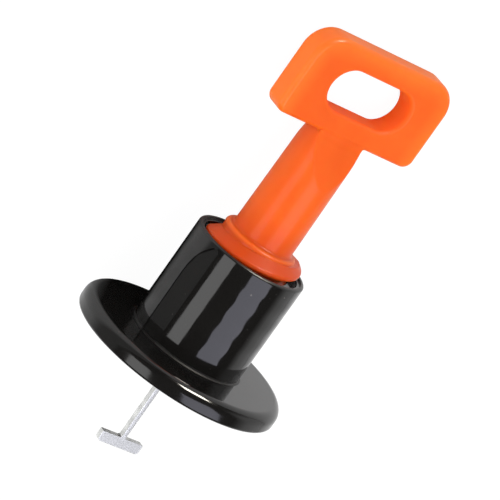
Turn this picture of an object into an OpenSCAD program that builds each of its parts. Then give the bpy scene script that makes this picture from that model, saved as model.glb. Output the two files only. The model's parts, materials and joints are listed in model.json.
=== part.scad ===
// Reusable T-pin tile leveller, laid on its side as it comes to rest.
// Each piece is modelled upright about its own axis, with the underside of the
// disc at height zero, and laid() then turns the whole tool onto the ground.

/* [Base disc] */
// Radius of the disc that presses on the tiles
disc_r = 24; // [20:0.5:30]
// Thickness of the disc
disc_t = 4.2; // [3.5:0.1:6]
// Rounding of the disc's top edge
disc_top_round = 2.2; // [0.5:0.1:2.6]
// Rounding of the disc's bottom edge
disc_bottom_round = 0.7; // [0.2:0.1:0.8]
// Radius of the hole that the T head passes through
pin_hole_r = 7; // [6:0.1:8]

/* [Base cup] */
// Outer radius of the cup
cup_r = 12.9; // [12.7:0.1:15]
// Height of the cup's rim above the disc's underside
cup_h = 28.6; // [24:0.1:34]
// Thickness of the floor that the stem seats on
floor_t = 3.2; // [2:0.1:4]
// Rounding of the rim's outer edge
lip_round = 0.6; // [0.2:0.1:0.8]
// Width of the raised lip round the mouth
lip_w = 0.9; // [0.6:0.1:1.2]
// Depth of the step inside the lip
lip_step = 0.5; // [0.2:0.1:1]
// Depth of the plain mouth above the thread
mouth_depth = 1.6; // [1.1:0.1:3]
// Fillet between the cup and the disc
cup_fillet = 0.5; // [0.2:0.1:1.5]

/* [Finger flutes] */
// Number of flutes round the cup
flute_count = 2; // [1:1:4]
// Width of a flute
flute_w = 5; // [3:0.1:8]
// Depth of a flute's flat floor below the cup's surface
flute_depth = 0.55; // [0.4:0.05:0.8]
// Distance from the rim down to a flute's top
flute_drop = 1.1; // [0.8:0.1:4]
// Height of the long arc at a flute's top
flute_arc_h = 8; // [4:0.5:12]
// Length of the flat part of a flute's top
flute_land = 1.5; // [1:0.1:2]
// Corner radius at the short side of a flute's top
flute_corner = 0.8; // [0.3:0.1:0.9]
// Bearing of the first flute's middle about the tool's axis, in degrees
flute_bearing = 14.5; // [0:0.5:359.5]

/* [Thread] */
// Pitch of the coarse right-hand thread
pitch = 5; // [4.9:0.05:5.4]
// Root radius of the stem's thread
root_r = 8.4; // [8:0.1:8.6]
// Crest radius of the stem's thread
crest_r = 10.8; // [10.2:0.1:10.9]
// Width of the flat crest
crest_land = 0.8; // [0.5:0.1:1]
// Height of one sloped flank along the axis
flank_h = 1.9; // [1.5:0.05:1.95]
// Radial play at the thread's crest
crest_play = 0.3; // [0.25:0.05:0.4]
// Radial play at the thread's root
root_play = 0.6; // [0.4:0.05:0.7]
// Play of each flank along the axis
flank_play = 0.2; // [0.15:0.05:0.25]
// Height of the ridge's middle where it sets off from the stem's lower end
thread_low_z = 5.93; // [5.83:0.1:6.13]
// Bearing at which the ridge sets off and, turns later, dies away, in degrees
thread_bearing = 205; // [0:1:359]
// Turns on the stem
stem_turns = 5; // [4:1:5]

/* [Handle] */
// Height of the collar's shoulder above the disc's underside
collar_z = 32.2; // [31.6:0.1:36]
// How far the collar stands out past the root of the thread
collar_step = 0.1; // [0.05:0.05:0.4]
// Rounding of the collar's top edge
collar_round = 0.9; // [0.3:0.1:1]
// Radius of the shaft just above the collar
shaft_low_r = 6.95; // [6:0.05:7.4]
// Radius of the shaft under the grip
shaft_top_r = 6.6; // [5.5:0.05:7]
// Fillet at the foot of the shaft
shaft_fillet = 0.7; // [0.2:0.1:1]
// Height of the grip's underside
grip_z = 59.1; // [52:0.1:70]
// Width of the grip
grip_w = 37.5; // [34:0.5:50]
// Height of the grip
grip_h = 19.75; // [18:0.25:28]
// Thickness of the grip
grip_t = 6.2; // [5:0.1:8]
// Corner radius at the grip's top
grip_top_r = 6.1; // [3:0.1:8]
// Corner radius at the grip's underside
grip_low_r = 2.25; // [1.5:0.05:5]
// Rounding of the grip's edges
grip_round = 1.2; // [0.4:0.1:1.4]
// Length of the hole through the grip
slot_w = 20.8; // [12:0.1:24]
// Height of the hole through the grip
slot_h = 9.8; // [6:0.1:12]
// Rounding of the hole's edges
slot_round = 0.9; // [0.2:0.1:1.4]
// Height above the collar at which the shaft's flats begin
flat_start = 16.8; // [10:0.1:18]
// Half thickness of the shaft between its flats under the grip
flat_half = 2.35; // [1.8:0.05:2.9]

/* [Stem bore and swivel] */
// Radius of the bore up the stem
bore_r = 5; // [4.6:0.1:5.6]
// Depth of the bore up the stem
bore_depth = 26; // [22:0.5:27]
// Gap between the stem's lower end and the cup's floor
seat_gap = 0.3; // [0.3:0.05:0.5]
// Height of the retaining bush
bush_h = 5; // [3:0.1:6]
// Depth of the bush inside the stem
bush_depth = 11; // [8:0.5:12]
// Radial clearance of the bush in its bore
bush_fit = 0.02; // [0.01:0.01:0.05]
// Radius of the hole for the pin in the bush
bush_hole_r = 1.5; // [1.4:0.05:2]
// Outer radius of the thrust washer
washer_r = 4.3; // [3.6:0.1:4.4]
// Radius of the washer's hole
washer_hole_r = 1.4; // [1.3:0.05:1.6]
// Thickness of the thrust washer
washer_t = 1; // [0.6:0.1:1.6]
// Gap on each side of the washer
swivel_gap = 0.2; // [0.1:0.05:0.3]

/* [T pin] */
// Thickness of the steel sheet
sheet_t = 1.5; // [1:0.1:1.7]
// Width of the shank
shank_w = 1.1; // [0.8:0.1:1.6]
// Length of the T head
tee_w = 11; // [8:0.1:11.6]
// Height of the T head
tee_h = 2.5; // [1.8:0.1:3.5]
// Free depth between the disc and the T head, where the tiles go
tile_gap = 19.8; // [17:0.1:26]
// Rounding of the T head's lower corners
tee_low_round = 0.8; // [0.3:0.1:0.85]
// Rounding of the T head's upper corners
tee_top_round = 0.3; // [0.1:0.05:0.7]
// Fillet between the shank and the T head
tee_fillet = 0.5; // [0.2:0.1:1]
// Radius of the upset head that closes the pin's upper end
upset_r = 2.6; // [2:0.1:3]
// Height of the upset head
upset_h = 1.4; // [1:0.1:2]

/* [Hidden] */

round_fn = 96;
// segments of a grip corner and of the rounding along its edge
corner_fn = 48;
edge_fn = 32;
thread_columns = 40;
// knots that draw one ridge in each column: root, crest, crest, root
ridge_knots = 4;
// knots held back by an end of the thread stay this far apart
knot_step = 0.03;
// part of a turn over which a ridge grows out of the root
stem_fade = 0.1;
tap_fade = 0.05;
// part of a turn by which the stem's ridge stops short of a whole turn
stem_stop = 0.03;
// a cutter reaches this far past the face that it opens
past = 1;
// pieces of one solid overlap by this much where they join
joint_lap = 0.3;
// the thread's cutter starts this far inside the bore that it widens
cut_lap = 0.1;
// the rounding of the hole's edges stops this many degrees before it lies flat
slot_crisp = 15;

// heights on the upright tool
stem_z = floor_t + seat_gap;
bush_z = stem_z + bush_depth;
washer_z = bush_z + bush_h + swivel_gap;
upset_z = washer_z + washer_t + swivel_gap;
tee_z = -tile_gap - tee_h;
grip_top_z = grip_z + grip_h;
slot_z = grip_z + grip_h / 2;
collar_r = root_r + collar_step;
flat_z = collar_z + flat_start;

// thread sizes that follow from the stem's
flank_slope = flank_h / (crest_r - root_r);
tap_crest_r = crest_r + crest_play;
tap_root_r = root_r + root_play;
tap_land = crest_land + 2 * flank_play;
tap_inner_r = tap_root_r - cut_lap;
tap_flank_h = flank_slope * (tap_crest_r - tap_inner_r);
tap_turns = stem_turns + 1;
lip_r = cup_r - lip_w;
// the mouth stands a quarter of the way out from the thread's crest to the lip
mouth_r = tap_crest_r + (lip_r - tap_crest_r) / 4;

// the pose at rest: the disc's rim and the grip's end touch the ground
lean_disc = disc_r - disc_top_round;
lean_grip = grip_t / 2 - grip_round;
lean_rise = lean_disc - lean_grip;
lean_run = (grip_top_z - grip_round) - (disc_t - disc_top_round);
lie_tilt = atan2(lean_rise, lean_run)
    - asin((grip_round - disc_top_round) / norm([lean_rise, lean_run]));
z_lift = lean_disc * cos(lie_tilt) + (disc_t - disc_top_round) * sin(lie_tilt) + disc_top_round;
far_tee_y = -tee_z * cos(lie_tilt) + sheet_t / 2 * sin(lie_tilt);
far_grip_y = -lean_grip * sin(lie_tilt) - (grip_top_z - grip_round) * cos(lie_tilt) - grip_round;
y_shift = -(far_tee_y + far_grip_y) / 2;

module laid() {
    translate([0, y_shift, z_lift]) rotate([90 + lie_tilt, 0, 0]) children();
}

// what a rounding of radius r takes off a corner whose tip is at the origin
module corner_waste(r, fn = round_fn) {
    difference() {
        translate([-r, -r]) square(r + past);
        translate([-r, -r]) circle(r, $fn = fn);
    }
}

// what a fillet of radius r adds in a corner whose tip is at the origin
module corner_fill(r) {
    difference() {
        square(r);
        translate([r, r]) circle(r, $fn = round_fn);
    }
}

// Screw surface as one closed solid: columns of points stand round the axis,
// each with four knots for every ridge, and the last column meets the first
// one ridge higher up.

function held(z, low, high, k) =
    min(max(z, low + knot_step * (k + 1)), high - knot_step * (ridge_knots - k));

function swell(turns, first, last, fade) =
    max(0, min(1, (turns - first) / fade, (last - turns) / fade));

function column(angle, r, crest, land, flank, low, high, turns, first, last, fade) = [
    [r, low],
    for (n = [0 : turns - 1])
        let (
            at = n + angle / 360,
            middle = thread_low_z + pitch * at,
            top = r + (crest - r) * swell(at, first, last, fade),
            foot = land / 2 + flank,
            knots = [[r, -foot], [top, -land / 2], [top, land / 2], [r, foot]]
        )
        for (k = [0 : ridge_knots - 1])
            [knots[k][0], held(middle + knots[k][1], low, high, k)],
    [r, high]
];

module screw(r, crest, land, flank, low, high, turns, first, last, fade) {
    n = thread_columns;
    m = ridge_knots * turns + 2;
    points = [
        for (i = [0 : n - 1])
            let (angle = 360 * i / n)
            for (p = column(angle, r, crest, land, flank, low, high, turns, first, last, fade))
                [p[0] * cos(angle), p[0] * sin(angle), p[1]]
    ];
    start = (n - 1) * m;
    sides = [
        for (i = [0 : n - 2])
            for (j = [0 : m - 2])
                let (a = i * m + j, b = a + m)
                for (f = [[a, a + 1, b + 1], [a, b + 1, b]]) f
    ];
    seam = [
        for (j = [1 : m - ridge_knots - 3])
            let (a = start + j, b = j + ridge_knots)
            for (f = [[a, a + 1, b + 1], [a, b + 1, b]]) f
    ];
    seam_low = [start, start + 1, for (j = [ridge_knots + 1 : -1 : 0]) j];
    seam_high = [m - 2, for (j = [m - ridge_knots - 2 : m - 1]) start + j, m - 1];
    underside = [for (i = [0 : n - 1]) i * m];
    top = [for (i = [n - 1 : -1 : 0]) i * m + m - 1];
    rotate(thread_bearing)
        polyhedron(points, concat(sides, seam, [seam_low, seam_high, underside, top]), convexity = 10);
}

// Base: disc and cup in one moulding

module base_profile() {
    difference() {
        union() {
            square([disc_r, disc_t]);
            square([cup_r, cup_h]);
            translate([cup_r, disc_t]) corner_fill(cup_fillet);
        }
        translate([disc_r, disc_t]) corner_waste(disc_top_round);
        translate([disc_r, 0]) mirror([0, 1]) corner_waste(disc_bottom_round);
        translate([cup_r, cup_h]) corner_waste(lip_round);
        translate([0, -past]) square([pin_hole_r, cup_h + 2 * past]);
        translate([0, floor_t]) square([tap_root_r, cup_h]);
        translate([0, cup_h - mouth_depth]) square([mouth_r, mouth_depth + past]);
        translate([0, cup_h - lip_step]) square([lip_r, lip_step + past]);
    }
}

module flute_outline() {
    arc_r = (pow(flute_w - flute_land, 2) + pow(flute_arc_h, 2)) / (2 * (flute_w - flute_land));
    top = cup_h - flute_drop;
    arc_z = top - flute_arc_h;
    difference() {
        intersection() {
            translate([-flute_w / 2, disc_t]) square([flute_w, top - disc_t]);
            union() {
                translate([arc_r - flute_w / 2, arc_z]) circle(arc_r, $fn = 2 * round_fn);
                translate([-flute_w / 2, disc_t]) square([flute_w, arc_z - disc_t]);
            }
        }
        translate([flute_w / 2, top]) corner_waste(flute_corner);
    }
}

module flute() {
    translate([0, -(cup_r - flute_depth), 0])
        rotate([90, 0, 0])
            linear_extrude(flute_depth + cup_fillet + past)
                flute_outline();
}

module base() {
    color("#1c1b19") difference() {
        rotate_extrude($fn = round_fn) base_profile();
        screw(tap_inner_r, tap_crest_r, tap_land, tap_flank_h,
            floor_t, thread_low_z + pitch * (tap_turns + 1),
            tap_turns, 0, tap_turns - tap_fade, tap_fade);
        for (i = [0 : flute_count - 1])
            rotate(90 + flute_bearing + 360 / flute_count * i) flute();
    }
}

// Handle: threaded stem, shaft and grip in one moulding

module shaft_profile() {
    difference() {
        union() {
            translate([0, collar_z - collar_round]) square([collar_r, collar_round]);
            polygon([
                [0, collar_z - collar_round],
                [shaft_low_r, collar_z - collar_round],
                [shaft_low_r, collar_z],
                [shaft_top_r, grip_z],
                [shaft_top_r, grip_z + grip_round],
                [0, grip_z + grip_round]
            ]);
            translate([shaft_low_r, collar_z]) corner_fill(shaft_fillet);
        }
        translate([collar_r, collar_z]) corner_waste(collar_round);
    }
}

// what the two sloped flats take off the shaft
module flat_waste() {
    outer = shaft_low_r + past;
    high = grip_z + grip_round + past;
    for (side = [0, 1])
        mirror([0, side, 0])
            rotate([90, 0, 90])
                linear_extrude(2 * outer, center = true)
                    polygon([
                        [(shaft_low_r + shaft_top_r) / 2, flat_z],
                        [flat_half, grip_z],
                        [flat_half, high],
                        [outer, high],
                        [outer, flat_z]
                    ]);
}

// a disc with a rounded rim, standing on edge, for the grip's corners
module edge_disc(r) {
    rotate([90, 0, 0])
        rotate_extrude($fn = corner_fn)
            difference() {
                translate([0, -grip_t / 2]) square([r, grip_t]);
                for (side = [0, 1])
                    mirror([0, side]) translate([r, grip_t / 2]) corner_waste(grip_round, edge_fn);
            }
}

module grip_blank() {
    hull()
        for (side = [-1, 1]) {
            translate([side * (grip_w / 2 - grip_top_r), 0, grip_top_z - grip_top_r])
                edge_disc(grip_top_r);
            translate([side * (grip_w / 2 - grip_low_r), 0, grip_z + grip_low_r])
                edge_disc(grip_low_r);
        }
}

// half section of the hole: straight through, then flaring round the grip's edge
module slot_section() {
    flare_z = grip_t / 2 - slot_round * cos(slot_crisp);
    difference() {
        translate([0, -grip_t / 2 - past])
            square([slot_h / 2 + slot_round, grip_t + 2 * past]);
        translate([slot_h / 2, -flare_z]) square([slot_round + past, 2 * flare_z]);
        for (side = [-1, 1])
            translate([slot_h / 2 + slot_round, side * flare_z]) circle(slot_round, $fn = round_fn);
    }
}

module slot_waste() {
    straight = slot_w - slot_h;
    translate([0, 0, slot_z]) rotate([90, 0, 0]) {
        for (side = [-1, 1])
            translate([side * straight / 2, 0, 0]) rotate_extrude($fn = round_fn) slot_section();
        for (side = [0, 1])
            mirror([0, side, 0])
                rotate([90, 0, 90]) linear_extrude(straight, center = true) slot_section();
    }
}

module handle() {
    color("#f0682f") difference() {
        union() {
            screw(root_r, crest_r, crest_land, flank_h,
                stem_z, collar_z - collar_round + joint_lap,
                stem_turns, stem_fade, stem_turns - stem_stop, stem_fade);
            difference() {
                rotate_extrude($fn = round_fn) shaft_profile();
                flat_waste();
            }
            grip_blank();
        }
        translate([0, 0, stem_z - past]) cylinder(bore_depth + past, r = bore_r, $fn = round_fn);
        slot_waste();
    }
}

// Swivel inside the stem: the pin's upset head turns on a washer over a bush

module retaining_bush() {
    color("#d8d4c8") translate([0, 0, bush_z]) difference() {
        cylinder(bush_h, r = bore_r - bush_fit, $fn = round_fn);
        translate([0, 0, -past]) cylinder(bush_h + 2 * past, r = bush_hole_r, $fn = round_fn);
    }
}

module thrust_washer() {
    color("#b9bbbd") translate([0, 0, washer_z]) difference() {
        cylinder(washer_t, r = washer_r, $fn = round_fn);
        translate([0, 0, -past]) cylinder(washer_t + 2 * past, r = washer_hole_r, $fn = round_fn);
    }
}

// T pin: stamped from sheet, its upper end upset over the washer

module pin_outline() {
    difference() {
        union() {
            translate([-shank_w / 2, tee_z]) square([shank_w, upset_z + joint_lap - tee_z]);
            translate([-tee_w / 2, tee_z]) square([tee_w, tee_h]);
            for (side = [0, 1])
                mirror([side, 0]) translate([shank_w / 2, tee_z + tee_h]) corner_fill(tee_fillet);
        }
        for (side = [0, 1])
            mirror([side, 0]) {
                translate([tee_w / 2, tee_z + tee_h]) corner_waste(tee_top_round);
                translate([tee_w / 2, tee_z]) mirror([0, 1]) corner_waste(tee_low_round);
            }
    }
}

module t_pin() {
    color("#d4d6d8") {
        rotate([90, 0, 0]) linear_extrude(sheet_t, center = true) pin_outline();
        translate([0, 0, upset_z]) cylinder(upset_h, r = upset_r, $fn = round_fn);
    }
}

laid() base();
laid() handle();
laid() t_pin();
laid() thrust_washer();
laid() retaining_bush();
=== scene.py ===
"""Looks of a reusable T-pin tile leveller: a black moulded base with a disc and a cup, an
orange moulded handle that screws into the cup, and a plated T pin that hangs through both."""

import json
import math

import bmesh
import bpy
from mathutils import Matrix, Vector


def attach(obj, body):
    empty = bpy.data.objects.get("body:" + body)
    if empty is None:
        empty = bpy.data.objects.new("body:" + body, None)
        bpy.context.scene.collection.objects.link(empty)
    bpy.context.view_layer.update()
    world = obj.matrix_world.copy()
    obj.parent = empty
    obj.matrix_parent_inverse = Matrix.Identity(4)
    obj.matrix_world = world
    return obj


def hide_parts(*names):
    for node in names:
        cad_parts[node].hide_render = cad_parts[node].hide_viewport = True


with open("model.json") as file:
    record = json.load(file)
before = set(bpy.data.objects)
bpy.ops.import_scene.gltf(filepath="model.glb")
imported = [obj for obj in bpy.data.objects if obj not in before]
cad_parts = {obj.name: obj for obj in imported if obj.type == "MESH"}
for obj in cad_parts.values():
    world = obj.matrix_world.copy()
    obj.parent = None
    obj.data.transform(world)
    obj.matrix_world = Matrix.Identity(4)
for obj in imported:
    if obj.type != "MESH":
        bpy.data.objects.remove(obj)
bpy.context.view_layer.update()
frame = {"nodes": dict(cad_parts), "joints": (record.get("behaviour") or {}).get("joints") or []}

MM = 0.001

# The tool's own frame: its axis and origin, as the pin's joint has them

PIN_JOINT = next(j for j in frame["joints"] if j["name"] == "pin_turn")
AXIS = Vector(PIN_JOINT["axis"])
ORIGIN = Vector(PIN_JOINT["pos_m"])
SIDE = Vector((1, 0, 0))
LAID = Matrix.Translation(ORIGIN) @ Matrix((SIDE, AXIS.cross(SIDE), AXIS)).transposed().to_4x4()

# Sizes of the base on the upright tool, in millimetres, and its flute's bearing in degrees

DISC_R, DISC_T = 24, 4.2
DISC_TOP_ROUND, DISC_BOTTOM_ROUND = 2.2, 0.7
CUP_R, CUP_H, CUP_FILLET = 12.9, 28.6, 0.25
LIP_W, LIP_STEP, LIP_ROUND, LIP_INNER_ROUND, LIP_STEP_FILLET = 0.9, 0.5, 0.6, 0.15, 0.12
MOUTH_R, MOUTH_DEPTH, MOUTH_ROUND = 11.325, 1.6, 0.15
PIN_HOLE_R, PIN_HOLE_ROUND, FLOOR_T = 7, 0.3, 3.2
FLUTE_W, FLUTE_DEPTH, FLUTE_DROP = 5, 0.55, 1.1
FLUTE_ARC_H, FLUTE_LAND, FLUTE_CORNER, FLUTE_BEARING, FLUTE_EDGE = 8, 1.5, 0.8, 14.5, 0.12

# Sizes of the thread: the stem's, and the cup's with its play. Bearings and turns are in degrees.
# The tap is wound longer than the cup is deep, and both its ends are cut off.

PITCH, THREAD_LOW_Z, THREAD_BEARING, FULL_TURN = 5, 5.93, 205, 360
ROOT_R, CREST_R, CREST_LAND, FLANK_H = 8.4, 10.8, 0.8, 1.9
TAP_ROOT_R, TAP_CREST_R, TAP_LAND = 9, 11.1, 1.2
TAP_LAP, TAP_TURNS = 0.1, 9

# Sizes of the handle

STEM_Z, STEM_ROUND, BORE_R, BORE_DEPTH, BORE_ROUND = 3.5, 0.4, 5, 26, 0.4
STEM_TURNS, THREAD_FADE = 5, 10
RIDGE_SINK, RIDGE_ROUND, RIDGE_LAP = 0.3, 0.25, 0.2
COLLAR_Z, COLLAR_R, COLLAR_ROUND = 32.2, 8.5, 0.9
SHAFT_LOW_R, SHAFT_TOP_R, SHAFT_TOP_Z, SHAFT_FILLET = 6.95, 6.6, 61, 0.7
GRIP_Z, GRIP_W, GRIP_H, GRIP_T = 59.1, 37.5, 19.75, 6.2
GRIP_TOP_R, GRIP_LOW_R, GRIP_ROUND = 6.1, 2.25, 1.2
SLOT_W, SLOT_H, SLOT_ROUND = 20.8, 9.8, 0.9
FLAT_Z, FLAT_HALF, FLAT_EDGE, GRIP_BLEND, GRIP_BLEND_REACH = 49, 2.35, 0.35, 0.5, 0.3
COVE_R, COVE_INSET = 3, 0.1

# Sizes of the T pin

SHEET_T, SHANK_W, TEE_W, TEE_H = 1.5, 1.1, 11, 2.5
TILE_GAP, UPSET_Z, UPSET_R, UPSET_H = 19.8, 20.9, 2.6, 1.4
TEE_LOW_ROUND, TEE_TOP_ROUND, TEE_FILLET, SHEET_EDGE = 0.8, 0.3, 0.5, 0.12

# Sizes of the finishes: what a pattern repeats at, how deep it is, and where it starts and ends

SHADE_SIZE, SMEAR_SIZE, DUST_SPACING = 8.33, 3.33, 0.7
SINK_DEPTH, SINK_START, SINK_FULL, FOOT_WIDTH = 0.035, 1, 4, 0.75
FLOW_SIZE, SWELL_SIZE, SWELL_DEPTH, SKIN_DEPTH = 14, 7, 0.15, 2
# Heights above the collar where the stem's painted shade starts and where it is full
STEM_SHADE_START, STEM_SHADE_FULL = 7, -1
# Where the painted glow along the grip's edges starts and where it is full, and how softly it rounds the
# grip's top corners
PAINTED_GLOW_START, PAINTED_GLOW_FULL, PAINTED_GLOW_BLEND = -4.5, 1.5, 5
MOTTLE_SIZE, DENT_SIZE, DENT_DEPTH = 2, 1.67, 0.01
MILK_SIZE = 2.5

# How much duller than the skin round them some places are, as roughness, and how strong the painted
# highlight on the collar's bead is, as a share of the grip edges' painted glow colour

RIM_DULL, LIP_DULL, FOOT_DULL, WALL_DULL = 0.06, 0.24, 0.4, 0.35
BEAD_PAINTED_HIGHLIGHT = 0.5


# Materials

# A Mix node's inputs and output for colours, and its inputs for numbers, which go by their places
# because their names repeat
COLOUR_A, COLOUR_B, MIXED = 6, 7, 2
NUMBER_A, NUMBER_B = 2, 3


def tone(code):
    """A colour written as an sRGB hex value, in the renderer's linear light."""
    shares = [int(code[i:i + 2], 16) / 255 for i in (1, 3, 5)]
    return [s / 12.92 if s <= 0.04045 else ((s + 0.055) / 1.055) ** 2.4 for s in shares] + [1]


def add(tree, kind, settings=None, links=None):
    """Adds one node. A setting names a property or an input, and a link names an input."""
    made = tree.nodes.new(kind)
    for key, value in (settings or {}).items():
        if isinstance(key, str) and hasattr(made, key):
            setattr(made, key, value)
        else:
            made.inputs[key].default_value = value
    for key, source in (links or {}).items():
        tree.links.new(source, made.inputs[key])
    return made


def new_material(name):
    """An empty node material, and its tree."""
    made = bpy.data.materials.new(name)
    made.use_nodes = True
    made.node_tree.nodes.clear()
    return made, made.node_tree


def tool_coordinates(tree):
    """Places on the upright tool, in millimetres, whichever way the tool lies."""
    place = add(tree, "ShaderNodeTexCoord").outputs["Object"]
    upright = LAID.inverted().to_euler()
    turned = add(tree, "ShaderNodeMapping", {"vector_type": "POINT", "Rotation": upright,
        "Location": LAID.inverted().translation}, {"Vector": place}).outputs["Vector"]
    return add(tree, "ShaderNodeVectorMath", {"operation": "SCALE", "Scale": 1 / MM},
        {0: turned}).outputs["Vector"]


def round_coordinates(tree, place):
    """A place's parts, its distance from the tool's axis, and that distance with its height as a
    point of the XZ plane."""
    part = add(tree, "ShaderNodeSeparateXYZ", {}, {0: place})
    flat = add(tree, "ShaderNodeVectorMath", {"operation": "MULTIPLY", 1: (1, 1, 0)}, {0: place})
    radius = add(tree, "ShaderNodeVectorMath", {"operation": "LENGTH"}, {0: flat.outputs["Vector"]})
    swung = add(tree, "ShaderNodeCombineXYZ", {}, {"X": radius.outputs["Value"], "Z": part.outputs["Z"]})
    return part, radius, swung


def by_ring(tree, swung, radius, height, far, near, most):
    """A share that rises to its most from far off to near a ring round the tool."""
    gap = add(tree, "ShaderNodeVectorMath", {"operation": "DISTANCE", 1: (radius, 0, height)},
        {0: swung.outputs[0]})
    return add(tree, "ShaderNodeMapRange", {"From Min": far, "From Max": near, "To Max": most},
        {"Value": gap.outputs["Value"]})


def moulded_black():
    """Injection-moulded black ABS off a polished tool: near-black, with clean sharp mirror bands
    that the faint sinks over the thread inside make a little wavy. The disc's rim and the cup's
    lip and foot are duller. A few pale specks of dust lie on it, drawn coarser than real dust so
    that they show."""
    made, tree = new_material("abs_black_polished_moulding")
    place = tool_coordinates(tree)
    part, radius, swung = round_coordinates(tree, place)
    shade = add(tree, "ShaderNodeTexNoise", {"Scale": 1 / SHADE_SIZE, "Detail": 3.0}, {"Vector": place})
    tint = add(tree, "ShaderNodeMix",
        {"data_type": "RGBA", COLOUR_A: tone("#131211"), COLOUR_B: tone("#191817")},
        {0: shade.outputs["Fac"]})
    grain = add(tree, "ShaderNodeTexNoise", {"Scale": 1 / DUST_SPACING, "Detail": 1.0}, {"Vector": place})
    dust = add(tree, "ShaderNodeMapRange", {"From Min": 0.79, "From Max": 0.82},
        {"Value": grain.outputs["Fac"]})
    colour = add(tree, "ShaderNodeMix", {"data_type": "RGBA", COLOUR_B: tone("#55524f")},
        {0: dust.outputs["Result"], COLOUR_A: tint.outputs[MIXED]})

    smear = add(tree, "ShaderNodeTexNoise", {"Scale": 1 / SMEAR_SIZE, "Detail": 2.0}, {"Vector": place})
    polish = add(tree, "ShaderNodeMapRange", {"From Min": 0.3, "From Max": 0.7, "To Min": 0.05,
        "To Max": 0.11}, {"Value": smear.outputs["Fac"]})
    rim = add(tree, "ShaderNodeMapRange", {"From Min": DISC_R - DISC_TOP_ROUND, "From Max": DISC_R,
        "To Max": RIM_DULL}, {"Value": radius.outputs["Value"]})
    lip = add(tree, "ShaderNodeMapRange", {"From Min": CUP_H - LIP_ROUND, "From Max": CUP_H - LIP_ROUND / 2,
        "To Max": LIP_DULL}, {"Value": part.outputs["Z"]})
    foot = by_ring(tree, swung, CUP_R, DISC_T, FOOT_WIDTH, CUP_FILLET, FOOT_DULL)
    ends = add(tree, "ShaderNodeMath", {"operation": "MAXIMUM"}, {0: lip.outputs[0], 1: foot.outputs[0]})
    dull = add(tree, "ShaderNodeMath", {"operation": "ADD"}, {0: rim.outputs[0], 1: ends.outputs[0]})
    rough = add(tree, "ShaderNodeMath", {"operation": "ADD"}, {0: polish.outputs[0], 1: dull.outputs[0]})

    turn = add(tree, "ShaderNodeMath", {"operation": "ARCTAN2"}, {0: part.outputs["Y"], 1: part.outputs["X"]})
    unturned = add(tree, "ShaderNodeMath", {"operation": "MULTIPLY", 1: -1.0}, {0: turn.outputs[0]})
    winding = add(tree, "ShaderNodeMath", {"operation": "MULTIPLY_ADD", 1: math.tau / PITCH},
        {0: part.outputs["Z"], 2: unturned.outputs[0]})
    wave = add(tree, "ShaderNodeMath", {"operation": "SINE"}, {0: winding.outputs[0]})
    above = add(tree, "ShaderNodeMapRange", {"From Min": DISC_T + SINK_START,
        "From Max": DISC_T + SINK_FULL}, {"Value": part.outputs["Z"]})
    below = add(tree, "ShaderNodeMapRange", {"From Min": CUP_H - SINK_START,
        "From Max": CUP_H - SINK_FULL}, {"Value": part.outputs["Z"]})
    wall = add(tree, "ShaderNodeMath", {"operation": "MULTIPLY"}, {0: above.outputs[0], 1: below.outputs[0]})
    sink = add(tree, "ShaderNodeMath", {"operation": "MULTIPLY"}, {0: wave.outputs[0], 1: wall.outputs[0]})
    relief = add(tree, "ShaderNodeBump", {"Distance": SINK_DEPTH * MM}, {"Height": sink.outputs[0]})
    shader = add(tree, "ShaderNodeBsdfPrincipled", {"IOR": 1.5},
        {"Base Color": colour.outputs[MIXED], "Roughness": rough.outputs[0],
        "Normal": relief.outputs["Normal"]})
    add(tree, "ShaderNodeOutputMaterial", {}, {"Surface": shader.outputs["BSDF"]})
    return made


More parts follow.
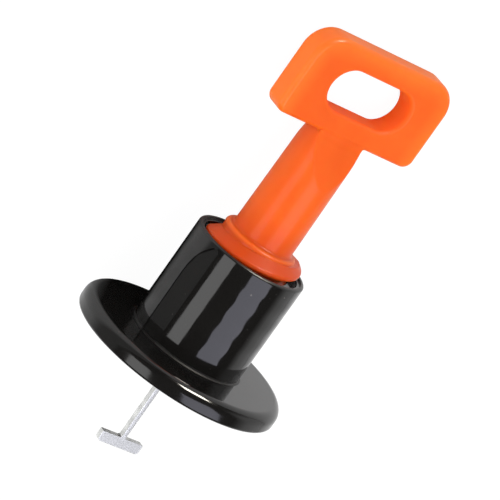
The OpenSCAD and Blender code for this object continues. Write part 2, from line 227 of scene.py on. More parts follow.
def moulded_orange():
    """Injection-moulded orange polypropylene: a waxy, dull gloss over a skin that light enters, with soft
    flow marks. The grip's edges are painted yellower as a painted glow, the collar's bead carries a
    painted highlight, and the stem is painted darker towards the cup as painted shade. The wall of the
    hole is duller, and is painted a brighter, redder orange as painted light."""
    made, tree = new_material("polypropylene_orange_moulding")
    place = tool_coordinates(tree)
    part, _, swung = round_coordinates(tree, place)
    flow = add(tree, "ShaderNodeTexNoise", {"Scale": 1 / FLOW_SIZE, "Detail": 3.0, "Distortion": 0.6},
        {"Vector": place})
    body = add(tree, "ShaderNodeMix",
        {"data_type": "RGBA", COLOUR_A: tone("#df5411"), COLOUR_B: tone("#f36a1c")},
        {0: flow.outputs["Fac"]})
    # Painted shade: the stem is painted a darker orange from above the collar down into the cup, where the
    # cup's shade falls
    stem = add(tree, "ShaderNodeMapRange", {"From Min": COLLAR_Z + STEM_SHADE_START,
        "From Max": COLLAR_Z + STEM_SHADE_FULL}, {"Value": part.outputs["Z"]})
    shaded_stem = add(tree, "ShaderNodeMix", {"data_type": "RGBA", COLOUR_B: tone("#d24a0e")},
        {0: stem.outputs[0], COLOUR_A: body.outputs[MIXED]})

    # Painted light: a yellower glow painted along the grip's sides and top, and a painted highlight round the
    # collar's bead
    across = add(tree, "ShaderNodeMath", {"operation": "ABSOLUTE"}, {0: part.outputs["X"]})
    side = add(tree, "ShaderNodeMath", {"operation": "SUBTRACT", 1: GRIP_W / 2}, {0: across.outputs[0]})
    along = add(tree, "ShaderNodeMath", {"operation": "SUBTRACT", 1: GRIP_Z + GRIP_H}, {0: part.outputs["Z"]})
    edge = add(tree, "ShaderNodeMath", {"operation": "SMOOTH_MAX", 2: PAINTED_GLOW_BLEND},
        {0: side.outputs[0], 1: along.outputs[0]})
    rim = add(tree, "ShaderNodeMapRange", {"From Min": PAINTED_GLOW_START, "From Max": PAINTED_GLOW_FULL},
        {"Value": edge.outputs[0]})
    bead = by_ring(tree, swung, COLLAR_R - COLLAR_ROUND / 2, COLLAR_Z - COLLAR_ROUND / 3,
        COLLAR_ROUND, 0, BEAD_PAINTED_HIGHLIGHT)
    glow = add(tree, "ShaderNodeMath", {"operation": "MAXIMUM"}, {0: rim.outputs[0], 1: bead.outputs[0]})
    painted_glow_colour = add(tree, "ShaderNodeMix", {"data_type": "RGBA", COLOUR_B: tone("#fc7e2a")},
        {0: glow.outputs[0], COLOUR_A: shaded_stem.outputs[MIXED]})

    past = add(tree, "ShaderNodeMath", {"operation": "SUBTRACT", 1: (SLOT_W - SLOT_H) / 2},
        {0: across.outputs[0]})
    aside = add(tree, "ShaderNodeMath", {"operation": "MAXIMUM", 1: 0.0}, {0: past.outputs[0]})
    up = add(tree, "ShaderNodeMath", {"operation": "SUBTRACT", 1: GRIP_Z + GRIP_H / 2},
        {0: part.outputs["Z"]})
    away = add(tree, "ShaderNodeCombineXYZ", {}, {"X": aside.outputs[0], "Y": up.outputs[0]})
    reach = add(tree, "ShaderNodeVectorMath", {"operation": "LENGTH"}, {0: away.outputs[0]})
    wall = add(tree, "ShaderNodeMapRange", {"From Min": SLOT_H / 2 + SLOT_ROUND, "From Max": SLOT_H / 2},
        {"Value": reach.outputs["Value"]})
    # Painted light: the hole's wall lies in shade and is painted a brighter, redder orange. The same mask
    # makes the wall duller.
    colour = add(tree, "ShaderNodeMix", {"data_type": "RGBA", COLOUR_B: tone("#ff6415")},
        {0: wall.outputs[0], COLOUR_A: painted_glow_colour.outputs[MIXED]})

    polish = add(tree, "ShaderNodeMapRange", {"To Min": 0.34, "To Max": 0.42}, {"Value": flow.outputs["Fac"]})
    rough = add(tree, "ShaderNodeMath", {"operation": "MULTIPLY_ADD", 1: WALL_DULL},
        {0: wall.outputs["Result"], 2: polish.outputs["Result"]})
    swell = add(tree, "ShaderNodeTexNoise", {"Scale": 1 / SWELL_SIZE, "Detail": 2.0}, {"Vector": place})
    relief = add(tree, "ShaderNodeBump", {"Distance": SWELL_DEPTH * MM}, {"Height": swell.outputs["Fac"]})
    shader = add(tree, "ShaderNodeBsdfPrincipled", {"IOR": 1.49, "Specular IOR Level": 0.15,
        "Coat Weight": 0.14, "Coat Roughness": 0.1, "Subsurface Weight": 0.6,
        "Subsurface Radius": (1.0, 0.35, 0.1), "Subsurface Scale": SKIN_DEPTH * MM},
        {"Base Color": colour.outputs[MIXED], "Roughness": rough.outputs[0],
        "Normal": relief.outputs["Normal"]})
    add(tree, "ShaderNodeOutputMaterial", {}, {"Surface": shader.outputs["BSDF"]})
    return made


def plated_steel():
    """Sheet steel with bright zinc plate, tumbled in bulk: a pale metal with a soft, cloudy mirror
    and the faintest of dents. It is a little less than all metal, so that it stays as pale as
    plate looks in a white surround."""
    made, tree = new_material("steel_sheet_bright_zinc")
    place = tool_coordinates(tree)
    cloud = add(tree, "ShaderNodeTexNoise", {"Scale": 1 / MOTTLE_SIZE, "Detail": 1.0}, {"Vector": place})
    mottle = add(tree, "ShaderNodeMapRange", {"From Min": 0.35, "From Max": 0.65},
        {"Value": cloud.outputs["Fac"]})
    tint = add(tree, "ShaderNodeMix",
        {"data_type": "RGBA", COLOUR_A: tone("#e6e7e5"), COLOUR_B: tone("#fbfcfa")},
        {0: mottle.outputs[0]})
    rough = add(tree, "ShaderNodeMapRange", {"From Min": 0.3, "From Max": 0.7, "To Min": 0.42, "To Max": 0.3},
        {"Value": cloud.outputs["Fac"]})
    dents = add(tree, "ShaderNodeTexNoise", {"Scale": 1 / DENT_SIZE, "Detail": 2.0}, {"Vector": place})
    relief = add(tree, "ShaderNodeBump", {"Distance": DENT_DEPTH * MM}, {"Height": dents.outputs["Fac"]})
    shader = add(tree, "ShaderNodeBsdfPrincipled", {"Metallic": 0.8},
        {"Base Color": tint.outputs[MIXED], "Roughness": rough.outputs[0],
        "Normal": relief.outputs["Normal"]})
    add(tree, "ShaderNodeOutputMaterial", {}, {"Surface": shader.outputs["BSDF"]})
    return made


def natural_nylon():
    """Natural nylon, moulded: milky, a little yellow, with a satin skin."""
    made, tree = new_material("nylon_natural_moulding")
    place = tool_coordinates(tree)
    milk = add(tree, "ShaderNodeTexNoise", {"Scale": 1 / MILK_SIZE, "Detail": 3.0}, {"Vector": place})
    tint = add(tree, "ShaderNodeMix",
        {"data_type": "RGBA", COLOUR_A: tone("#cfcabb"), COLOUR_B: tone("#dcd8cb")},
        {0: milk.outputs["Fac"]})
    shader = add(tree, "ShaderNodeBsdfPrincipled", {"IOR": 1.53, "Roughness": 0.4},
        {"Base Color": tint.outputs[MIXED]})
    add(tree, "ShaderNodeOutputMaterial", {}, {"Surface": shader.outputs["BSDF"]})
    return made


def dress(piece, material):
    """Gives a piece or a CAD node its one material."""
    piece.data.materials.clear()
    piece.data.materials.append(material)


# Camera: bearings, lifts and the roll are in degrees, about the upright tool's axis and in its own
# frame. Its clipping is in metres and its other lengths are in millimetres.

CAMERA_LIFT = 14.744
CAMERA_BEARING = 38.983
CAMERA_ROLL = 35.268
CAMERA_DISTANCE = 960.97
CAMERA_LENS = 337.57
SENSOR = 36
CLIP_NEAR, CLIP_FAR = 0.01, 20
AIM_HEIGHT = 28.681
AIM_SIDE = -0.687
AIM = LAID @ Vector((0, 0, AIM_HEIGHT * MM))


def tool_direction(bearing, lift):
    """The unit vector at a bearing and a lift about the upright tool, as the tool lies. A bearing
    counts from the camera's own, to the right as the camera sees it."""
    turn, rise = math.radians(CAMERA_BEARING - bearing), math.radians(lift)
    upright = Vector((math.cos(rise) * math.sin(turn), math.cos(rise) * math.cos(turn), math.sin(rise)))
    return LAID.to_3x3() @ upright


def stood_at(place, across, above, back):
    """The matrix of a camera or a lamp at a place, from the ways that its three axes point."""
    return Matrix.Translation(place) @ Matrix((across, above, back)).transposed().to_4x4()


def camera():
    """The camera at the photograph's angle to the tool, rolled as it was."""
    back = tool_direction(0, CAMERA_LIFT)
    up = (AXIS - AXIS.dot(back) * back).normalized()
    right = up.cross(back)
    roll = math.radians(CAMERA_ROLL)
    across = math.cos(roll) * right + math.sin(roll) * up
    above = math.cos(roll) * up - math.sin(roll) * right
    data = bpy.data.cameras.new("camera")
    data.lens = CAMERA_LENS
    data.sensor_width = SENSOR
    data.clip_start, data.clip_end = CLIP_NEAR, CLIP_FAR
    eye = bpy.data.objects.new("camera", data)
    bpy.context.scene.collection.objects.link(eye)
    place = AIM + AIM_SIDE * MM * right + CAMERA_DISTANCE * MM * back
    eye.matrix_world = stood_at(place, across, above, back)
    bpy.context.scene.camera = eye


# Studio: lamps and floor in metres, edges of the floor's painted shadow and shade in millimetres

LAMP_DISTANCE = 0.7
FLOOR_SIZE = 8

# As the camera sees it, the floor is this share of white glow, and the rest is lit paper
WHITE_SHARE, WHITE_GLOW = 0.87, 1.1

# Glossy skins mirror a painted shadow under the base, between four soft edges, and paler painted shade
# in front of the tool
PAINTED_SHADOW_EDGES = (("X", -30, -10), ("X", 16, 8), ("Y", -3, 8), ("Y", 66, 58))
FRONT_START, FRONT_FULL, FRONT_PAINTED_SHADE = 42, 65, 0.7

# The surround's strength for matt skins. Glossy ones mirror it bright behind the tool and dark in
# front, by the angle from a way near the camera's, and dark too by the angle from the tool's axis.
MATT_SURROUND = 0.64
FRONT_BEARING, FRONT_LIFT = 3, -14
BEHIND_ANGLE, BEFORE_ANGLE, BEHIND, BEFORE = 100, 84, 0.7, 0.02
AROUND_ANGLE, OVER_ANGLE, AROUND, OVER = 65, 45, 1.0, 0.05


def panel_width(low, high):
    """Width of a panel at the lamps' distance that spans two bearings."""
    return 2 * LAMP_DISTANCE * math.tan(math.radians(high - low) / 2)


def softbox(name, bearing, lift, width, height, level, spin=0, mirrored=False, colour="#ffffff"):
    """A lamp panel that faces the tool's middle, turned by spin about the line to the tool. A
    mirrored one only shows in glossy skins, and any other only lights matt ones."""
    back = tool_direction(bearing, lift)
    up = (AXIS - AXIS.dot(back) * back).normalized()
    turned = Matrix.Rotation(math.radians(spin), 3, back) @ up
    data = bpy.data.lights.new(name, "AREA")
    data.shape = "RECTANGLE"
    data.size, data.size_y = width, height
    data.energy = level * math.pi * width * height
    data.color = tone(colour)[:3]
    lamp = bpy.data.objects.new(name, data)
    lamp.visible_glossy = mirrored
    lamp.visible_diffuse = lamp.visible_transmission = not mirrored
    bpy.context.scene.collection.objects.link(lamp)
    lamp.matrix_world = stood_at(AIM + LAMP_DISTANCE * back, turned.cross(back), turned, back)


def lamps():
    """Two strips and a small lamp that glossy skins mirror, and three softboxes that light the tool."""
    softbox("left_strip", bearing=-26.5, lift=-18, width=panel_width(-39.5, -13.5), height=0.6,
        level=2.35, mirrored=True)
    softbox("right_strip", bearing=47.2, lift=-18, width=panel_width(28.3, 66.1), height=0.57,
        level=2.55, spin=26, mirrored=True, colour="#eeeeff")
    softbox("hair_light", bearing=50, lift=58, width=0.3, height=0.16,
        level=50, mirrored=True, colour="#fff8ec")
    softbox("left_softbox", bearing=-32, lift=-10, width=panel_width(-44, -10), height=1.0, level=1.4)
    softbox("right_softbox", bearing=48, lift=-10, width=panel_width(22, 74), height=1.0, level=1.65)
    softbox("top_softbox", bearing=-40, lift=65, width=0.8, height=0.8, level=1.4)


def ray_kinds(tree):
    """What kind a ray is, and whether the camera looks along it, straight or through something clear."""
    kind = add(tree, "ShaderNodeLightPath")
    straight = add(tree, "ShaderNodeMath", {"operation": "MAXIMUM"},
        {0: kind.outputs["Is Camera Ray"], 1: kind.outputs["Is Transmission Ray"]})
    return kind, straight


def paper_floor():
    """Matt white paper that looks white to the camera and keeps the tool's shadow. Glossy skins see a
    painted shadow under the base on it, and paler painted shade in front of the tool.
    """
    bpy.ops.object.select_all(action="DESELECT")
    bpy.ops.mesh.primitive_plane_add(size=FLOOR_SIZE, location=(0, 0, 0))
    floor = bpy.context.object
    floor.name = "floor"
    made, tree = new_material("matt_white_paper")
    kind, straight = ray_kinds(tree)
    share = add(tree, "ShaderNodeMath", {"operation": "MULTIPLY", 1: WHITE_SHARE}, {0: straight.outputs[0]})
    place = add(tree, "ShaderNodeNewGeometry").outputs["Position"]
    part = add(tree, "ShaderNodeSeparateXYZ", {}, {0: place})
    # Painted shadow that only glossy rays see: a dark area under the base, and paler painted shade in front
    # of the tool
    sides = [add(tree, "ShaderNodeMapRange", {"From Min": start * MM, "From Max": end * MM},
        {"Value": part.outputs[axis]}).outputs[0] for axis, start, end in PAINTED_SHADOW_EDGES]
    painted_shadow = sides[0]
    for side in sides[1:]:
        painted_shadow = add(tree, "ShaderNodeMath", {"operation": "MINIMUM"}, {0: painted_shadow, 1: side}).outputs[0]
    front = add(tree, "ShaderNodeMapRange", {"From Min": FRONT_START * MM, "From Max": FRONT_FULL * MM,
        "To Max": FRONT_PAINTED_SHADE}, {"Value": part.outputs["X"]})
    shaded = add(tree, "ShaderNodeMath", {"operation": "MAXIMUM"}, {0: painted_shadow, 1: front.outputs[0]})
    masked = add(tree, "ShaderNodeMath", {"operation": "MULTIPLY"},
        {0: shaded.outputs[0], 1: kind.outputs["Is Glossy Ray"]})
    # 161616 is the tone of the painted shadow and shade
    colour = add(tree, "ShaderNodeMix",
        {"data_type": "RGBA", COLOUR_A: tone("#dcdcdc"), COLOUR_B: tone("#161616")},
        {0: masked.outputs[0]})
    paper = add(tree, "ShaderNodeBsdfDiffuse", {}, {"Color": colour.outputs[MIXED]})
    glow = add(tree, "ShaderNodeEmission", {"Color": tone("#ffffff"), "Strength": WHITE_GLOW})
    both = add(tree, "ShaderNodeMixShader", {},
        {0: share.outputs[0], 1: paper.outputs[0], 2: glow.outputs[0]})
    add(tree, "ShaderNodeOutputMaterial", {}, {"Surface": both.outputs[0]})
    floor.data.materials.append(made)


def surround():
    """The world: white to the camera, dimmer to matt skins, and uneven to glossy ones."""
    world = bpy.data.worlds.new("surround")
    bpy.context.scene.world = world
    world.use_nodes = True
    tree = world.node_tree
    tree.nodes.clear()
    kind, straight = ray_kinds(tree)
    way = add(tree, "ShaderNodeTexCoord").outputs["Generated"]
    ahead = add(tree, "ShaderNodeVectorMath",
        {"operation": "DOT_PRODUCT", 1: tool_direction(FRONT_BEARING, FRONT_LIFT)}, {0: way})
    beside = add(tree, "ShaderNodeMapRange", {"From Min": math.cos(math.radians(BEHIND_ANGLE)),
        "From Max": math.cos(math.radians(BEFORE_ANGLE)), "To Min": BEHIND, "To Max": BEFORE},
        {"Value": ahead.outputs["Value"]})
    over = add(tree, "ShaderNodeVectorMath", {"operation": "DOT_PRODUCT", 1: AXIS}, {0: way})
    topped = add(tree, "ShaderNodeMapRange", {"From Min": math.cos(math.radians(AROUND_ANGLE)),
        "From Max": math.cos(math.radians(OVER_ANGLE)), "To Min": AROUND, "To Max": OVER},
        {"Value": over.outputs["Value"]})
    mirrored = add(tree, "ShaderNodeMath", {"operation": "MULTIPLY"},
        {0: beside.outputs[0], 1: topped.outputs[0]})
    unseen = add(tree, "ShaderNodeMix", {"data_type": "FLOAT", NUMBER_A: MATT_SURROUND},
        {0: kind.outputs["Is Glossy Ray"], NUMBER_B: mirrored.outputs[0]})
    strength = add(tree, "ShaderNodeMath", {"operation": "MAXIMUM"},
        {0: unseen.outputs[0], 1: straight.outputs[0]})
    glow = add(tree, "ShaderNodeBackground", {"Color": tone("#ffffff")}, {"Strength": strength.outputs[0]})
    add(tree, "ShaderNodeOutputWorld", {}, {"Surface": glow.outputs[0]})


# Modelling: every piece is shaped upright, in millimetres, and then laid down with the tool

# Sides of a full circle, steps of a thread's turn, and steps of a round from the largest to the finest
BASE_SIDES, FLUTE_SIDES, HANDLE_SIDES, SLOT_SIDES, UPSET_SIDES = 192, 384, 128, 96, 64
WIND_STEPS = 96
CORNER_STEPS, RIM_STEPS, BEAD_STEPS, ROUND_STEPS = 14, 8, 6, 5
FILLET_STEPS, EDGE_STEPS, FINE_STEPS = 4, 3, 2

# How near counts as there, in millimetres, what share of a normal counts as facing a way or lying
# flush with a face, what angle counts as a crease or a corner, in radians, and which angles count
# as smooth and as straight, in degrees
FIND, SLIVER, CUT_FIND = 0.004, 0.001, 1e-5
FACING, FLUSH = 0.99, 0.9999
CREASE, CORNER = 0.3, 1
SMOOTH_ANGLE, STRAIGHT_ANGLE = 32, 0.1


def nothing_picked():
    """Leaves edit mode, with no object selected."""
    if bpy.context.object and bpy.context.object.mode == "EDIT":
        bpy.ops.object.mode_set(mode="OBJECT")
    bpy.ops.object.select_all(action="DESELECT")


def only(piece):
    """Makes one piece the selected one, in object mode."""
    nothing_picked()
    piece.select_set(True)
    bpy.context.view_layer.objects.active = piece


def opened(piece):
    """Opens one piece in edit mode, with nothing picked."""
    only(piece)
    bpy.ops.object.mode_set(mode="EDIT")
    bpy.ops.mesh.select_mode(type="VERT")
    bpy.ops.mesh.select_all(action="DESELECT")


def started(name):
    """Names the primitive that was just added, puts its place in its mesh and opens it in edit mode."""
    piece = bpy.context.object
    piece.name = piece.data.name = name
    bpy.ops.object.transform_apply()
    opened(piece)
    return piece


def set_to_bearing(piece, bearing):
    """Turns a piece about the tool's axis."""
    only(piece)
    piece.matrix_world = Matrix.Rotation(math.radians(bearing), 4, "Z")
    bpy.ops.object.transform_apply()


def modified(piece, kind, **settings):
    """Puts a modifier on a piece and applies it."""
    only(piece)
    modifier = piece.modifiers.new(kind.lower(), kind)
    for key, value in settings.items():
        setattr(modifier, key, value)
    bpy.ops.object.modifier_apply(modifier=modifier.name)


def joined(piece, other, operation):
    """Cuts or unites two solids into the first, and deletes the second."""
    modified(piece, "BOOLEAN", object=other, operation=operation, solver="EXACT")
    bpy.data.objects.remove(other)
    opened(piece)
    bpy.ops.mesh.select_all(action="SELECT")
    bpy.ops.mesh.remove_doubles(threshold=SLIVER)
    bpy.ops.mesh.dissolve_degenerate(threshold=SLIVER)


def pick(kind, test):
    """Picks, in edit mode, the faces, edges or vertices that pass a test, and counts them."""
    mesh = bmesh.from_edit_mesh(bpy.context.object.data)
    bpy.ops.mesh.select_mode(type=kind)
    bpy.ops.mesh.select_all(action="DESELECT")
    found = [e for e in {"VERT": mesh.verts, "EDGE": mesh.edges, "FACE": mesh.faces}[kind] if test(e)]
    for e in found:
        e.select_set(True)
    mesh.select_flush_mode()
    bmesh.update_edit_mesh(bpy.context.object.data)
    return len(found)


def radius_of(v):
    """Distance of a vertex from the tool's axis."""
    return math.hypot(v.co.x, v.co.y)


def span(edge):
    """The way from one end of an edge to the other."""
    return edge.verts[0].co - edge.verts[1].co


def round_end(sides, way):
    """A test for round faces with that many sides that look up the tool's axis, way 1, or down, -1."""
    return lambda f: way * f.normal.z > FACING and len(f.verts) == sides


def on_ring(radius, height):
    """A test for edges that lie on the ring of that radius and height."""
    return lambda e: all(abs(radius_of(v) - radius) < FIND and abs(v.co.z - height) < FIND for v in e.verts)


def cap_to(corners):
    """Extrudes the picked round cap from corner to corner of a profile, each a radius and a height."""
    radius, height = corners[0]
    for next_radius, next_height in corners[1:]:
        bpy.ops.mesh.extrude_region_move(TRANSFORM_OT_translate={"value": (0, 0, next_height - height)})
        bpy.ops.transform.resize(value=(next_radius / radius, next_radius / radius, 1),
            center_override=(0, 0, next_height))
        radius, height = next_radius, next_height


def rounded(size, steps, affect="EDGES"):
    """Rounds the picked edges, or the picked corners of an outline."""
    bpy.ops.mesh.bevel(offset=size, segments=steps, affect=affect, clamp_overlap=False)


def round_ring(radius, height, size, steps):
    """Rounds the ring of edges at that radius and height."""
    if not pick("EDGE", on_ring(radius, height)):
        raise ValueError(f"no ring at {radius:.3f}, {height:.3f}")
    rounded(size, steps)


def cut_away(at, away, fill=True, beyond=True):
    """Cuts the open piece at a plane and drops what lies beyond it, or else what lies short of it."""
    bpy.ops.mesh.select_all(action="SELECT")
    bpy.ops.mesh.bisect(plane_co=at, plane_no=away, use_fill=fill, threshold=CUT_FIND,
        clear_outer=beyond, clear_inner=not beyond)


def faces_outward():
    """Turns every face of the open piece outwards."""
    bpy.ops.mesh.select_all(action="SELECT")
    bpy.ops.mesh.normals_make_consistent(inside=False)


def finished(piece, body, material, slot, *nodes):
    """Smooths a piece, lays it down, gives it its finish and sets it on its body for the CAD nodes."""
    only(piece)
    bpy.ops.object.shade_smooth_by_angle(angle=math.radians(SMOOTH_ANGLE))
    modified(piece, "WEIGHTED_NORMAL", keep_sharp=True)
    piece.matrix_world = LAID @ Matrix.Scale(MM, 4)
    bpy.ops.object.transform_apply(location=True, rotation=True, scale=True)
    dress(piece, material)
    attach(piece, body)
    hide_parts(*nodes)


def polyline(name, points):
    """A chain of edges through points of the tool's XZ plane, each a radius and a height."""
    nothing_picked()
    bpy.ops.mesh.primitive_plane_add(size=1)
    piece = started(name)
    bpy.ops.mesh.select_all(action="SELECT")
    bpy.ops.mesh.merge(type="CENTER")
    radius, height = points[0]
    bpy.ops.transform.translate(value=(radius, 0, height))
    for next_radius, next_height in points[1:]:
        bpy.ops.mesh.extrude_vertices_move(
            TRANSFORM_OT_translate={"value": (next_radius - radius, 0, next_height - height)})
        radius, height = next_radius, next_height
    return piece


def wind(piece, turns):
    """Winds an open or closed profile up the tool's axis along the right-hand thread."""
    modified(piece, "SCREW", axis="Z", angle=math.tau, screw_offset=PITCH, iterations=turns,
        steps=WIND_STEPS, render_steps=WIND_STEPS)
    opened(piece)
    bpy.ops.mesh.select_all(action="SELECT")
    bpy.ops.mesh.remove_doubles(threshold=FIND)


def tap():
    """A solid of the cup's inside thread, to cut with."""
    first = THREAD_LOW_Z - PITCH * THREAD_BEARING / FULL_TURN - PITCH
    core = TAP_ROOT_R - TAP_LAP
    flank = FLANK_H / (CREST_R - ROOT_R) * (TAP_CREST_R - core)
    piece = polyline("tap", [(core, first - PITCH / 2), (core, first - TAP_LAND / 2 - flank),
        (TAP_CREST_R, first - TAP_LAND / 2), (TAP_CREST_R, first + TAP_LAND / 2),
        (core, first + TAP_LAND / 2 + flank), (core, first + PITCH / 2)])
    wind(piece, TAP_TURNS)
    cut_away((0, 0, FLOOR_T), (0, 0, 1), beyond=False)
    cut_away((0, 0, CUP_H - LIP_STEP), (0, 0, 1))
    faces_outward()
    return piece


def flute_cutter(bearing):
    """A solid with a flute's outline, outside the flat floor of the flute: a long arc on one side
    at the top, a short corner on the other, and straight sides down to the disc."""
    half = FLUTE_W / 2
    run = FLUTE_W - FLUTE_LAND
    arc = (run ** 2 + FLUTE_ARC_H ** 2) / (2 * run)
    top = CUP_H - FLUTE_DROP
    nothing_picked()
    bpy.ops.mesh.primitive_circle_add(vertices=FLUTE_SIDES, radius=arc, fill_type="NGON",
        location=(arc - half, FLUTE_DEPTH - CUP_R, top - FLUTE_ARC_H), rotation=(math.pi / 2, 0, 0))
    piece = started("flute")
    cut_away((half, 0, 0), (1, 0, 0), fill=False)
    cut_away((0, 0, top), (0, 0, 1), fill=False)
    cut_away((0, 0, top - FLUTE_ARC_H), (0, 0, -1), fill=False)
    pick("EDGE", lambda e: all(abs(v.co.z - top + FLUTE_ARC_H) < FIND for v in e.verts))
    bpy.ops.mesh.extrude_edges_move(TRANSFORM_OT_translate={"value": (0, 0, DISC_T + FLUTE_ARC_H - top)})
    pick("VERT", lambda v: abs(v.co.z - top) < FIND and abs(v.co.x - half) < FIND)
    rounded(FLUTE_CORNER, RIM_STEPS, affect="VERTICES")
    bpy.ops.mesh.select_all(action="SELECT")
    bpy.ops.mesh.dissolve_limited(angle_limit=math.radians(STRAIGHT_ANGLE))
    bpy.ops.mesh.select_all(action="SELECT")
    bpy.ops.mesh.extrude_region_move(TRANSFORM_OT_translate={"value": (0, -CUP_R / 2, 0)})
    faces_outward()
    # It was drawn on the side that faces -Y, a quarter turn before bearing 0
    set_to_bearing(piece, FULL_TURN / 4 + bearing)
    return piece


def on_flute(edge):
    """A test for the sharp edges where a flute meets the cup's wall."""
    return edge.is_manifold and edge.calc_face_angle_signed(0) > CREASE and all(
        abs(radius_of(v) - CUP_R) < FLUTE_EDGE / 2
        and DISC_T + 2 * CUP_FILLET < v.co.z < CUP_H - LIP_ROUND - FIND for v in edge.verts)


def base_moulding():
    """Disc and cup in one moulding, tapped inside, with two finger flutes down the cup."""
    nothing_picked()
    bpy.ops.mesh.primitive_cylinder_add(vertices=BASE_SIDES, radius=DISC_R, depth=DISC_T,
        location=(0, 0, DISC_T / 2))
    piece = started("base_moulding")
    shelf = CUP_H - LIP_STEP
    mouth = CUP_H - MOUTH_DEPTH
    pick("FACE", round_end(BASE_SIDES, 1))
    cap_to([(DISC_R, DISC_T), (CUP_R, DISC_T), (CUP_R, CUP_H), (CUP_R - LIP_W, CUP_H),
        (CUP_R - LIP_W, shelf), (MOUTH_R, shelf), (MOUTH_R, mouth), (TAP_ROOT_R, mouth),
        (TAP_ROOT_R, FLOOR_T), (PIN_HOLE_R, FLOOR_T)])
    pick("FACE", round_end(BASE_SIDES, 1))
    bpy.ops.mesh.delete(type="FACE")
    pick("FACE", round_end(BASE_SIDES, -1))
    cap_to([(DISC_R, 0), (PIN_HOLE_R, 0)])
    bpy.ops.mesh.delete(type="FACE")
    pick("EDGE", lambda e: e.is_boundary)
    bpy.ops.mesh.bridge_edge_loops()
    round_ring(DISC_R, DISC_T, DISC_TOP_ROUND, RIM_STEPS)
    round_ring(DISC_R, 0, DISC_BOTTOM_ROUND, FILLET_STEPS)
    round_ring(CUP_R, DISC_T, CUP_FILLET, FILLET_STEPS)
    round_ring(CUP_R, CUP_H, LIP_ROUND, ROUND_STEPS)
    round_ring(CUP_R - LIP_W, CUP_H, LIP_INNER_ROUND, EDGE_STEPS)
    round_ring(CUP_R - LIP_W, shelf, LIP_STEP_FILLET, FINE_STEPS)
    round_ring(MOUTH_R, shelf, MOUTH_ROUND, EDGE_STEPS)
    round_ring(PIN_HOLE_R, 0, PIN_HOLE_ROUND, EDGE_STEPS)
    joined(piece, tap(), "DIFFERENCE")
    for bearing in (FLUTE_BEARING, FLUTE_BEARING + 180):
        joined(piece, flute_cutter(bearing), "DIFFERENCE")
    pick("EDGE", on_flute)
    rounded(FLUTE_EDGE, FINE_STEPS)
    return piece


def thread_ridge():
    """The stem's thread: one rounded ridge wound round the stem, which sinks into it at both ends."""
    half = CREST_LAND / 2
    low = ROOT_R - RIDGE_SINK
    flank = FLANK_H / (CREST_R - ROOT_R) * (CREST_R - low)
    start = THREAD_LOW_Z
    piece = polyline("thread_ridge", [(low, start - half - flank), (CREST_R, start - half),
        (CREST_R, start + half), (low, start + half + flank)])
    pick("VERT", lambda v: abs(v.co.x - CREST_R) < FIND)
    rounded(RIDGE_ROUND, EDGE_STEPS, affect="VERTICES")
    bpy.ops.mesh.select_all(action="SELECT")
    bpy.ops.mesh.edge_face_add()
    bpy.ops.mesh.delete(type="ONLY_FACE")
    wind(piece, STEM_TURNS)
    pick("EDGE", lambda e: e.is_boundary)
    bpy.ops.mesh.fill()
    faces_outward()
    ring = FULL_TURN / WIND_STEPS
    drop = CREST_R - low
    # The steps of the winding at each end sink towards the axis, the last one below the stem's skin
    for k in range(THREAD_FADE):
        share = 1 - k / THREAD_FADE
        for turn, height in ((k * ring, PITCH * k / WIND_STEPS),
                (-k * ring, PITCH * (STEM_TURNS - k / WIND_STEPS))):
            out = Vector((math.cos(math.radians(turn)), math.sin(math.radians(turn)), 0))
            across = Vector((-out.y, out.x, 0))
            pick("VERT", lambda v: abs(v.co.dot(across)) < FIND and v.co.dot(out) > 0
                and abs(v.co.z - start - height) < PITCH / 2)
            bpy.ops.transform.translate(value=-drop * share * out)
    set_to_bearing(piece, THREAD_BEARING)
    opened(piece)
    cut_away((0, 0, COLLAR_Z - COLLAR_ROUND + RIDGE_LAP), (0, 0, 1))
    cut_away((0, 0, STEM_Z + RIDGE_LAP / 2), (0, 0, 1), beyond=False)
    return piece


def handle_shaft():
    """Stem, collar and shaft, drawn up ring by ring, with two sloped flats under the grip."""
    seat = COLLAR_Z - COLLAR_ROUND
    nothing_picked()
    bpy.ops.mesh.primitive_cylinder_add(vertices=HANDLE_SIDES, radius=ROOT_R, depth=seat - STEM_Z,
        location=(0, 0, (seat + STEM_Z) / 2))
    piece = started("handle_moulding")
    pick("FACE", round_end(HANDLE_SIDES, 1))
    cap_to([(ROOT_R, seat), (COLLAR_R, seat), (COLLAR_R, COLLAR_Z), (SHAFT_LOW_R, COLLAR_Z),
        (SHAFT_TOP_R, SHAFT_TOP_Z)])
    pick("FACE", round_end(HANDLE_SIDES, -1))
    cap_to([(ROOT_R, STEM_Z), (BORE_R, STEM_Z), (BORE_R, STEM_Z + BORE_DEPTH)])
    round_ring(COLLAR_R, COLLAR_Z, COLLAR_ROUND, BEAD_STEPS)
    round_ring(SHAFT_LOW_R, COLLAR_Z, SHAFT_FILLET, ROUND_STEPS)
    round_ring(BORE_R, STEM_Z, BORE_ROUND, FINE_STEPS)
    round_ring(ROOT_R, STEM_Z, STEM_ROUND, EDGE_STEPS)
    wide = (SHAFT_LOW_R + SHAFT_TOP_R) / 2
    slope = Vector((0, GRIP_Z - FLAT_Z, wide - FLAT_HALF)).normalized()
    for side in (1, -1):
        away = Vector((0, side * slope.y, slope.z))
        cut_away((0, side * FLAT_HALF, GRIP_Z), away)
        pick("EDGE", lambda e: sum(f.normal.dot(away) > FLUSH for f in e.link_faces) == 1
            and not all(v.co.z > SHAFT_TOP_Z - FIND for v in e.verts))
        rounded(FLAT_EDGE, EDGE_STEPS)
    return piece


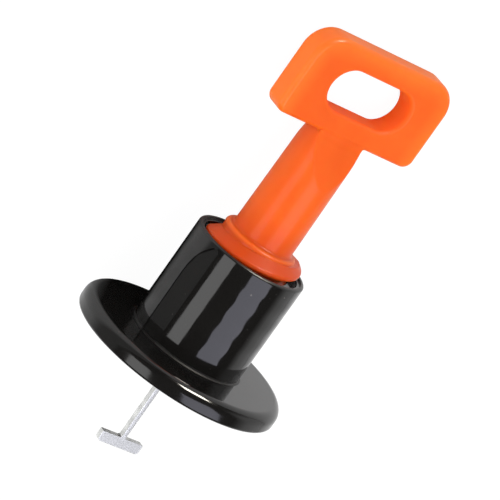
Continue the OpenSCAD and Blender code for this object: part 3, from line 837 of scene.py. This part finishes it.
def cove(side):
    """The soft blend from one flat up into the grip's face: a slab of the shaft with a hollow face.
    The hollow touches the flat at low and the round under the grip, which has its middle at edge,
    at high."""
    slope = Vector((GRIP_Z - FLAT_Z, (SHAFT_LOW_R + SHAFT_TOP_R) / 2 - FLAT_HALF)).normalized()
    edge = Vector((GRIP_T / 2 - GRIP_ROUND, GRIP_Z + GRIP_ROUND))
    reach = slope.dot(Vector((FLAT_HALF, GRIP_Z))) + COVE_R
    along = Vector((-slope.y, slope.x))
    off = reach - edge.dot(slope)
    middle = edge + off * slope - math.sqrt((COVE_R + GRIP_ROUND) ** 2 - off ** 2) * along
    low, high = middle - COVE_R * slope, edge + GRIP_ROUND * (middle - edge).normalized()
    nothing_picked()
    bpy.ops.mesh.primitive_cylinder_add(vertices=HANDLE_SIDES, radius=SHAFT_TOP_R - COVE_INSET,
        depth=high.y - low.y, location=(0, 0, (high.y + low.y) / 2))
    piece = started("cove")
    for at, out in ((low.x, 1), (FLAT_HALF / 2, -1)):
        cut_away((0, side * at, 0), (0, side * out, 0))
    nothing_picked()
    bpy.ops.mesh.primitive_cylinder_add(vertices=HANDLE_SIDES, radius=COVE_R, depth=4 * SHAFT_TOP_R,
        location=(0, side * middle.x, middle.y), rotation=(0, math.pi / 2, 0))
    joined(piece, started("cove_hollow"), "DIFFERENCE")
    return piece


def slot_cutter():
    """A bar with the outline of the hole through the grip. It starts as a rod, turned by half of
    one of its sides so that it parts evenly into the hole's two ends."""
    nothing_picked()
    bpy.ops.mesh.primitive_cylinder_add(vertices=SLOT_SIDES, radius=SLOT_H / 2, depth=2 * GRIP_T,
        location=(0, 0, GRIP_Z + GRIP_H / 2), rotation=(math.pi / 2, math.pi / SLOT_SIDES, 0))
    piece = started("slot")
    for side in (1, -1):
        pick("VERT", lambda v: side * v.co.x > 0)
        bpy.ops.transform.translate(value=(side * (SLOT_W - SLOT_H) / 2, 0, 0))
    return piece


def on_rim(edge):
    """A test for the edges between the grip's flat faces and its sides or its hole."""
    return len({round(f.normal.y) for f in edge.link_faces}) == 2 and all(
        abs(abs(v.co.y) - GRIP_T / 2) < FIND for v in edge.verts)


def in_slot(edge):
    """A test for edges on the hole through the grip."""
    return all(math.hypot(max(abs(v.co.x) - (SLOT_W - SLOT_H) / 2, 0), v.co.z - GRIP_Z - GRIP_H / 2)
        < SLOT_H / 2 + FIND for v in edge.verts)


def grip():
    """The T grip: a flat plate with two large and two small corners, every edge rounded."""
    middle = GRIP_Z + GRIP_H / 2
    nothing_picked()
    bpy.ops.mesh.primitive_cube_add(size=1, scale=(GRIP_W, GRIP_T, GRIP_H), location=(0, 0, middle))
    piece = started("grip")
    for size, side in ((GRIP_TOP_R, 1), (GRIP_LOW_R, -1)):
        pick("EDGE", lambda e: abs(span(e).x) < FIND and all(side * (v.co.z - middle) > GRIP_H / 2 - FIND
            and abs(v.co.x) > GRIP_W / 2 - FIND for v in e.verts))
        rounded(size, CORNER_STEPS)
    joined(piece, slot_cutter(), "DIFFERENCE")
    pick("EDGE", lambda e: on_rim(e) and not in_slot(e))
    rounded(GRIP_ROUND, BEAD_STEPS)
    pick("EDGE", lambda e: on_rim(e) and in_slot(e))
    rounded(SLOT_ROUND, ROUND_STEPS)
    return piece


def handle_moulding():
    """The whole handle, in one moulding, with a soft blend where the flats run into the grip."""
    piece = handle_shaft()
    for side in (1, -1):
        joined(piece, cove(side), "UNION")
    joined(piece, grip(), "UNION")
    pick("EDGE", lambda e: e.calc_face_angle_signed(0) < -CREASE and all(
        GRIP_Z - FIND < v.co.z < GRIP_Z + GRIP_BLEND_REACH and radius_of(v) < SHAFT_TOP_R + FIND
        for v in e.verts))
    rounded(GRIP_BLEND, EDGE_STEPS)
    joined(piece, thread_ridge(), "UNION")
    return piece


def pin_stamping():
    """The T pin: a shank and a T head stamped from one sheet, its top end upset into a round head."""
    tee_z = -TILE_GAP - TEE_H
    middle = -TILE_GAP - TEE_H / 2
    top = UPSET_Z + UPSET_H / 2
    nothing_picked()
    bpy.ops.mesh.primitive_cube_add(size=1, scale=(TEE_W, SHEET_T, TEE_H), location=(0, 0, middle))
    piece = started("pin_stamping")
    for size, height in ((TEE_LOW_ROUND, tee_z), (TEE_TOP_ROUND, -TILE_GAP)):
        pick("EDGE", lambda e: abs(span(e).x) < FIND and all(abs(v.co.z - height) < FIND for v in e.verts))
        rounded(size, BEAD_STEPS)
    nothing_picked()
    bpy.ops.mesh.primitive_cube_add(size=1, scale=(SHANK_W, SHEET_T, top - middle),
        location=(0, 0, (top + middle) / 2))
    joined(piece, started("shank"), "UNION")
    pick("EDGE", lambda e: all(abs(v.co.z + TILE_GAP) < FIND and abs(abs(v.co.x) - SHANK_W / 2) < FIND
        for v in e.verts))
    rounded(TEE_FILLET, ROUND_STEPS)
    pick("EDGE", lambda e: abs(span(e).y) < FIND and e.calc_face_angle(0) > CORNER
        and all(abs(abs(v.co.y) - SHEET_T / 2) < FIND for v in e.verts))
    rounded(SHEET_EDGE, FINE_STEPS)
    nothing_picked()
    bpy.ops.mesh.primitive_cylinder_add(vertices=UPSET_SIDES, radius=UPSET_R, depth=UPSET_H,
        location=(0, 0, top))
    head = started("upset_head")
    round_ring(UPSET_R, UPSET_Z + UPSET_H, UPSET_H / 2, ROUND_STEPS)
    joined(piece, head, "UNION")
    return piece


camera()

black = moulded_black()
orange = moulded_orange()
steel = plated_steel()
nylon = natural_nylon()
finished(base_moulding(), "base", black, "black_plastic", "base")
finished(handle_moulding(), "handle", orange, "orange_plastic", "handle")
finished(pin_stamping(), "pin", steel, "plated_steel", "t_pin")
dress(frame["nodes"]["thrust_washer"], steel)
dress(frame["nodes"]["retaining_bush"], nylon)

paper_floor()
lamps()
surround()

bpy.context.scene.view_settings.view_transform = "Standard"
